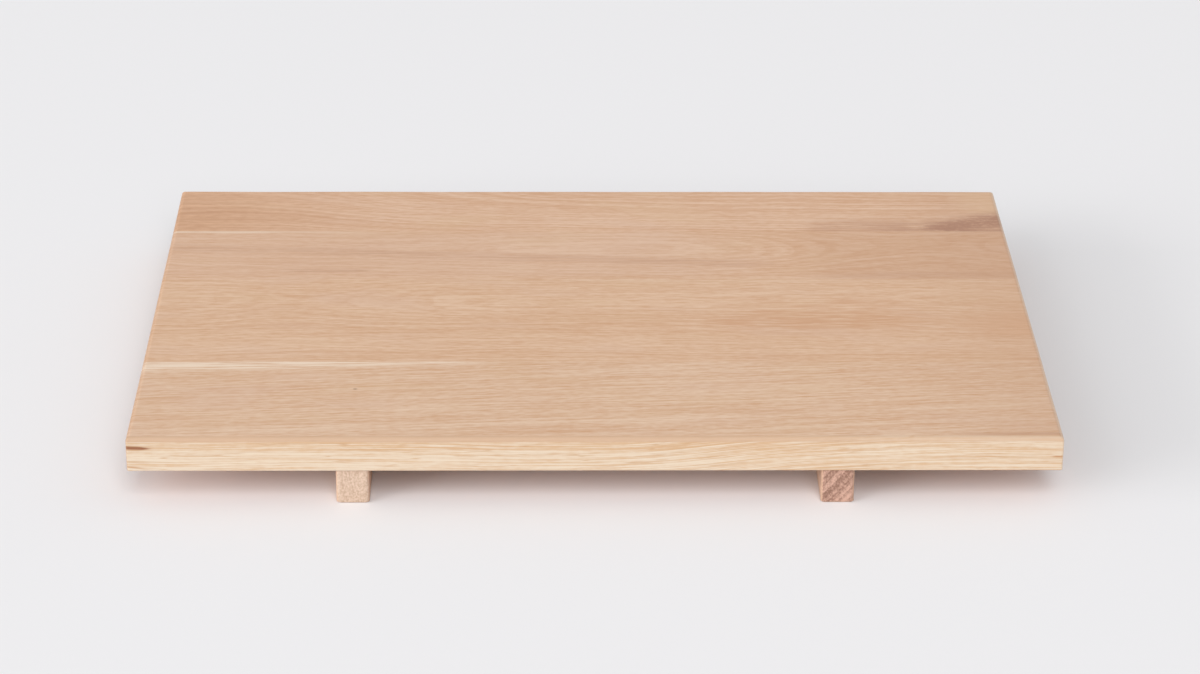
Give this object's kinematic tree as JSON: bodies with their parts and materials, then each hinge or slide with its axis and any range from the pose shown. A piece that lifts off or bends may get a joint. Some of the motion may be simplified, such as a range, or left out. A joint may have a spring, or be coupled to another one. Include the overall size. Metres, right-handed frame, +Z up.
{
  "type": "serving board",
  "caption": "Flat rectangular oak serving board of edge-glued staves with eased arrises, raised on runners across the grain that leave finger room underneath.",
  "frame": {"origin": "middle of the footprint, on the surface that the runners stand on", "axes": "+X along the grain, the board's length; +Y from the front edge to the rear edge; +Z up"},
  "size_m": [0.45, 0.3, 0.036],
  "materials": {
    "oak_board": "sanded and lightly oiled, matt",
    "oak_runner": "sanded and lightly oiled, matt",
    "screw_steel": "bright zinc plate"
  },
  "bodies": {
    "root": {"stave_front": "oak_board", "stave_front_middle": "oak_board", "stave_rear_middle": "oak_board", "stave_rear": "oak_board", "runner_left": "oak_runner", "runner_right": "oak_runner", "screw_left_front": "screw_steel", "screw_left_front_middle": "screw_steel", "screw_left_rear_middle": "screw_steel", "screw_left_rear": "screw_steel", "screw_right_front": "screw_steel", "screw_right_front_middle": "screw_steel", "screw_right_rear_middle": "screw_steel", "screw_right_rear": "screw_steel"}
  },
  "joints": []
}
